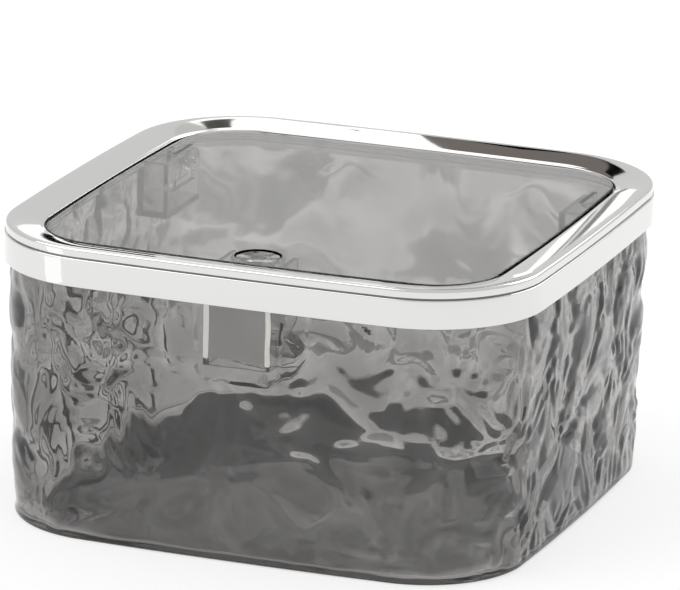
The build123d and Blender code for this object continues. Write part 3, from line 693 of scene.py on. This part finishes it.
def pale_floor():
    """Matt white floor: white to the eye, mirror and glass, and it keeps the bin's shadow."""
    material = new_material("matt_white_floor")
    tree = material.node_tree
    paint = node(tree, "ShaderNodeBsdfDiffuse", {"Color": linear("#eeeeee")})
    seen_paint = node(tree, "ShaderNodeBsdfDiffuse", {"Color": linear("#aaaaaa")})
    # the white of the sweep is left out under the foot, where no light reaches it, as a painted
    # shadow; fourth powers of x and y make that place a square with round corners
    place = node(tree, "ShaderNodeTexCoord")
    axes = node(tree, "ShaderNodeSeparateXYZ", {}, {"Vector": place.outputs["Object"]})
    fourths = [node(tree, "ShaderNodeMath", {"operation": "POWER", 1: 4.0}, {0: size.outputs["Value"]})
               for size in (node(tree, "ShaderNodeMath", {"operation": "ABSOLUTE"},
                                 {0: axes.outputs[axis]}) for axis in "XY")]
    total = node(tree, "ShaderNodeMath", {"operation": "ADD"},
                 {0: fourths[0].outputs["Value"], 1: fourths[1].outputs["Value"]})
    out = node(tree, "ShaderNodeMath", {"operation": "POWER", 1: 0.25}, {0: total.outputs["Value"]})
    white = node(tree, "ShaderNodeMapRange",
                 {"From Min": FOOT_SHADE[0] * MM, "From Max": FOOT_SHADE[1] * MM,
                  "To Min": FLOOR_GLOW[0], "To Max": FLOOR_GLOW[1]},
                 {"Value": out.outputs["Value"]})
    glow = node(tree, "ShaderNodeEmission", {"Color": (1.0, 1.0, 1.0, 1.0)},
                {"Strength": white.outputs["Result"]})
    path = node(tree, "ShaderNodeLightPath")
    seen = node(tree, "ShaderNodeMath", {"operation": "ADD", "use_clamp": True},
                {0: path.outputs["Is Camera Ray"], 1: path.outputs["Is Glossy Ray"]})
    all_seen = node(tree, "ShaderNodeMath", {"operation": "ADD", "use_clamp": True},
                    {0: seen.outputs["Value"], 1: path.outputs["Is Transmission Ray"]})
    lit = node(tree, "ShaderNodeAddShader")
    tree.links.new(seen_paint.outputs["BSDF"], lit.inputs[0])
    tree.links.new(glow.outputs["Emission"], lit.inputs[1])
    mixed = node(tree, "ShaderNodeMixShader", {}, {"Fac": all_seen.outputs["Value"]})
    tree.links.new(paint.outputs["BSDF"], mixed.inputs[1])
    tree.links.new(lit.outputs["Shader"], mixed.inputs[2])
    node(tree, "ShaderNodeOutputMaterial", {}, {"Surface": mixed.outputs["Shader"]})
    return material


def plane(name, corners, material):
    """Flat stage card through four corners in metres."""
    mesh = bpy.data.meshes.new(name)
    mesh.from_pydata(corners, [], [(0, 1, 2, 3)])
    made = bpy.data.objects.new(name, mesh)
    mesh.materials.append(material)
    bpy.context.scene.collection.objects.link(made)
    return made


plane("floor", [(-FLOOR_REACH, -FLOOR_REACH, 0), (FLOOR_REACH, -FLOOR_REACH, 0),
                (FLOOR_REACH, FLOOR_REACH, 0), (-FLOOR_REACH, FLOOR_REACH, 0)], pale_floor())


def plain_paper(name, code, strength):
    """Evenly lit card: one plain colour for the chrome or the clear plastic to show."""
    material = new_material(name)
    paint = node(material.node_tree, "ShaderNodeEmission",
                 {"Color": linear(code), "Strength": strength})
    node(material.node_tree, "ShaderNodeOutputMaterial", {}, {"Surface": paint.outputs["Emission"]})
    return material


def cloudy_paper():
    """Lit paper with soft grey clouds about 28 mm high, which fade to white at its upper edge."""
    material = new_material("cloudy_paper")
    tree = material.node_tree
    place = node(tree, "ShaderNodeTexCoord")
    # drawn out sideways
    wide = node(tree, "ShaderNodeMapping", {"Scale": (0.45, 1.0, 1.2)},
                {"Vector": place.outputs["Object"]})
    clouds = node(tree, "ShaderNodeTexNoise",
                  {"Scale": 1 / (28 * MM), "Detail": 1.0, "Distortion": 1.5},
                  {"Vector": wide.outputs["Vector"]})
    level = node(tree, "ShaderNodeMapRange",
                 {"interpolation_type": "SMOOTHSTEP", "From Min": 0.36, "From Max": 0.56,
                  "To Min": 0.5, "To Max": 1.05}, {"Value": clouds.outputs["Fac"]})
    axes = node(tree, "ShaderNodeSeparateXYZ", {}, {"Vector": place.outputs["Object"]})
    fade = node(tree, "ShaderNodeMapRange",
                {"From Min": CLOUD_TOP - CLOUD_FADE, "From Max": CLOUD_TOP, "To Max": 0.98},
                {"Value": axes.outputs["Z"]})
    light = node(tree, "ShaderNodeMath", {"operation": "MAXIMUM"},
                 {0: level.outputs["Result"], 1: fade.outputs["Result"]})
    paint = node(tree, "ShaderNodeEmission", {"Color": (1.0, 1.0, 1.0, 1.0)},
                 {"Strength": light.outputs["Value"]})
    node(tree, "ShaderNodeOutputMaterial", {}, {"Surface": paint.outputs["Emission"]})
    return material


def card(name, corners, material, through=False):
    """Studio card outside the picture.

    Chrome and gloss mirror it, or, where it is for looking through, clear plastic bends it.
    """
    made = plane(name, corners, material)
    made.visible_camera = False
    made.visible_shadow = False
    made.visible_diffuse = False
    made.visible_glossy = not through
    made.visible_transmission = through
    return made


# dark cards low on the horizon, for the dark lines of the clear plastic; a look down through
# the tub meets the floor before it meets them
flag_paper = plain_paper("dark_flag_paper", "#2a2a29", 1.0)
for number, bearing in enumerate(range(20, 380, 45)):
    a = math.radians(bearing)
    middle = Vector((FLAG_AWAY * math.sin(a), FLAG_AWAY * math.cos(a), 0))
    along = Vector((math.cos(a), -math.sin(a), 0)) * FLAG_WIDTH / 2
    up = Vector((0, 0, FLAG_HEIGHT))
    corners = [middle - along, middle + along, middle + along + up, middle - along + up]
    card("low_flag_%d" % number, corners, flag_paper, through=True)

# panels behind the bin, as the rim's top face mirrors them: colour, strength, distance behind
# the middle, then four corners as (x, height), in millimetres
PANELS = {
    "far_white_panel": ("#ffffff", 1.5, 1000, ((-700, 610), (-300, 610), (-300, 1250), (-700, 1250))),
    "corner_panel": ("#55534f", 1.0, 990, ((-410, 672), (-382, 648), (-318, 840), (-380, 900))),
    "corner_world_panel": ("#d4d4d2", 1.0, 985, ((-382, 600), (-280, 600), (-280, 1000), (-318, 840))),
    "near_white_panel": ("#ffffff", 1.5, 350, ((-135, 238), (-106, 238), (-118, 360), (-135, 360))),
    "taupe_panel": ("#7c7673", 1.0, 350, ((-106, 238), (-30, 238), (-30, 360), (-118, 360))),
    "black_panel": ("#030303", 1.0, 345, ((-88, 246), (-46, 219), (-43, 240), (-68, 260))),
    "black_foot_panel": ("#050505", 1.0, 1000, ((-520, 108), (-448, 108), (-448, 185), (-520, 185))),
    "white_foot_panel": ("#ffffff", 1.4, 1000, ((-520, 200), (-384, 200), (-384, 330), (-520, 330))),
}
# upright stripes beside them, from left to right: edges in x, then colour and strength of each
STRIPE_EDGES = (-352, -335, -330, -325, -314, -290)
STRIPE_COLOURS = {"a": ("#ffffff", 1.4), "b": ("#9c9b99", 1.0), "c": ("#f8f8f6", 1.0),
                  "d": ("#8d8c8a", 1.0), "e": ("#ffffff", 1.4)}
STRIPE_BEHIND = 1000
STRIPE_HEIGHTS = (190, 290)
foot, head = STRIPE_HEIGHTS
for letter, left, right in zip(STRIPE_COLOURS, STRIPE_EDGES, STRIPE_EDGES[1:]):
    code, strength = STRIPE_COLOURS[letter]
    stripe = ((left, foot), (right, foot), (right, head), (left, head))
    PANELS["stripe_" + letter] = (code, strength, STRIPE_BEHIND, stripe)

for name, (code, strength, behind, corners) in PANELS.items():
    card(name, [(x * MM, behind * MM, height * MM) for x, height in corners],
         plain_paper(name + "_paper", code, strength))

# cloudy paper close behind the bin: the ripples of both walls bend it into soft swirls
card("cloudy_screen", [(CLOUD_LEFT, CLOUD_BEHIND, 0), (CLOUD_RIGHT, CLOUD_BEHIND, 0),
                       (CLOUD_RIGHT, CLOUD_BEHIND, CLOUD_TOP), (CLOUD_LEFT, CLOUD_BEHIND, CLOUD_TOP)],
     cloudy_paper(), through=True)

# a white card low on the left, for the bright patch on the skirt's corner
near, far = SIDE_CARD_Y
foot, head = SIDE_CARD_Z
card("white_side_card", [(SIDE_CARD_X, near, foot), (SIDE_CARD_X, far, foot), (SIDE_CARD_X, far, head),
                         (SIDE_CARD_X, near, head)], plain_paper("white_side_paper", "#ffffff", 1.35))

world = bpy.data.worlds.new("studio")
bpy.context.scene.world = world
world.use_nodes = True
world.node_tree.nodes.clear()
sky = node(world.node_tree, "ShaderNodeBackground",
           {"Color": (1, 1, 1, 1), "Strength": SKY_STRENGTH})
node(world.node_tree, "ShaderNodeOutputWorld", {}, {"Surface": sky.outputs["Background"]})


def soft_lamp(name, centre, size, power):
    """Rectangular softbox that faces the bin, in metres and watts."""
    lamp = bpy.data.lights.new(name, "AREA")
    lamp.shape = "RECTANGLE"
    lamp.size, lamp.size_y = size
    lamp.energy = power
    holder = bpy.data.objects.new(name, lamp)
    holder.location = centre
    holder.rotation_euler = (LAMP_AIM - Vector(centre)).to_track_quat("-Z", "Y").to_euler()
    bpy.context.scene.collection.objects.link(holder)
    return holder


soft_lamp("key_softbox", (-0.9, -0.7, 1.2), (1.4, 1.4), 9.0)
soft_lamp("back_softbox", (0.5, 1.1, 1.0), (1.2, 0.7), 7.0)

# the camera looks down on the front from a little to the right; it was fitted to the bin's outlines
CAMERA_PLACE = (717.2 * MM, -1915.4 * MM, 657.0 * MM)
CAMERA_YAW = -0.357          # radians
CAMERA_PITCH = 0.282
CAMERA_ROLL = 0.022
FOCAL_PIXELS = 6634.4
FRAME_PIXELS = 680
SENSOR = 36.0

forward = Vector((math.sin(CAMERA_YAW) * math.cos(CAMERA_PITCH),
                  math.cos(CAMERA_YAW) * math.cos(CAMERA_PITCH), -math.sin(CAMERA_PITCH)))
level_right = Vector((math.cos(CAMERA_YAW), -math.sin(CAMERA_YAW), 0))
level_up = level_right.cross(forward)
right = math.cos(CAMERA_ROLL) * level_right + math.sin(CAMERA_ROLL) * level_up
up = right.cross(forward)
camera_data = bpy.data.cameras.new("camera")
camera_data.sensor_width = SENSOR
camera_data.lens = FOCAL_PIXELS / FRAME_PIXELS * SENSOR
camera_data.clip_end = 50    # metres, past the floor's far edge
camera = bpy.data.objects.new("camera", camera_data)
turn = Matrix((right, up, -forward)).transposed().to_4x4()
camera.matrix_world = Matrix.Translation(CAMERA_PLACE) @ turn
bpy.context.scene.collection.objects.link(camera)
bpy.context.scene.camera = camera
bpy.context.scene.view_settings.view_transform = "Standard"
